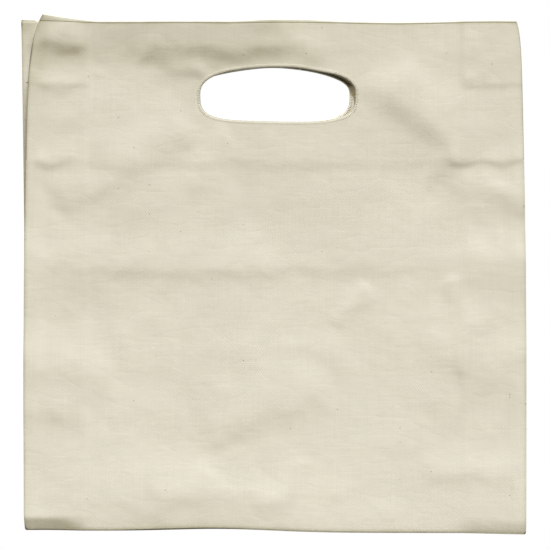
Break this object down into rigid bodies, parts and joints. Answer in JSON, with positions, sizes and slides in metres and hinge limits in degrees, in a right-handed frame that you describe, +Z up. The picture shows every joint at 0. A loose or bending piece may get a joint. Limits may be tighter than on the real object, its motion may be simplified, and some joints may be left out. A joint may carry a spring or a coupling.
{
  "type": "canvas picking bag",
  "caption": "Flat gusseted canvas carrying bag for picked fruit, with an oval hand hole cut through both sides.",
  "frame": {"origin": "where the hand bears: the middle of the hand holes' top edge, between the two sides", "axes": "+X to the right seen from the front, the front faces -Y, +Z up towards the mouth"},
  "size_m": [0.357, 0.0131, 0.3631],
  "materials": {
    "canvas": "unbleached cotton canvas, matt, plain weave",
    "lining_canvas": "the same canvas, inside face, matt",
    "thread": "natural spun cotton sewing thread, matt"
  },
  "bodies": {
    "back_side": {"back_panel": "canvas", "back_top_facing": "lining_canvas", "back_facing_overlock": "thread", "back_hole_edge_stitching": "thread", "left_gusset_back_half": "canvas", "left_back_gusset_hem_stitching": "thread", "left_back_side_seam_thread": "thread", "left_back_side_seam_overlock": "thread", "right_gusset_back_half": "canvas", "right_back_gusset_hem_stitching": "thread", "right_back_side_seam_thread": "thread", "right_back_side_seam_overlock": "thread", "bottom_seam_allowance": "canvas", "bottom_seam_overlock": "thread", "bottom_seam_thread": "thread"},
    "front_side": {"front_panel": "canvas", "front_top_facing": "lining_canvas", "front_facing_overlock": "thread", "front_hole_edge_stitching": "thread", "left_gusset_front_half": "canvas", "left_front_gusset_hem_stitching": "thread", "left_front_side_seam_thread": "thread", "left_front_side_seam_overlock": "thread", "right_gusset_front_half": "canvas", "right_front_gusset_hem_stitching": "thread", "right_front_side_seam_thread": "thread", "right_front_side_seam_overlock": "thread"}
  },
  "joints": [
    {"name": "mouth_opening", "type": "hinge", "parent": "back_side", "child": "front_side", "pos_m": [0, 0, -0.332], "axis": [1, 0, 0], "range_deg": [0, 12]}
  ]
}
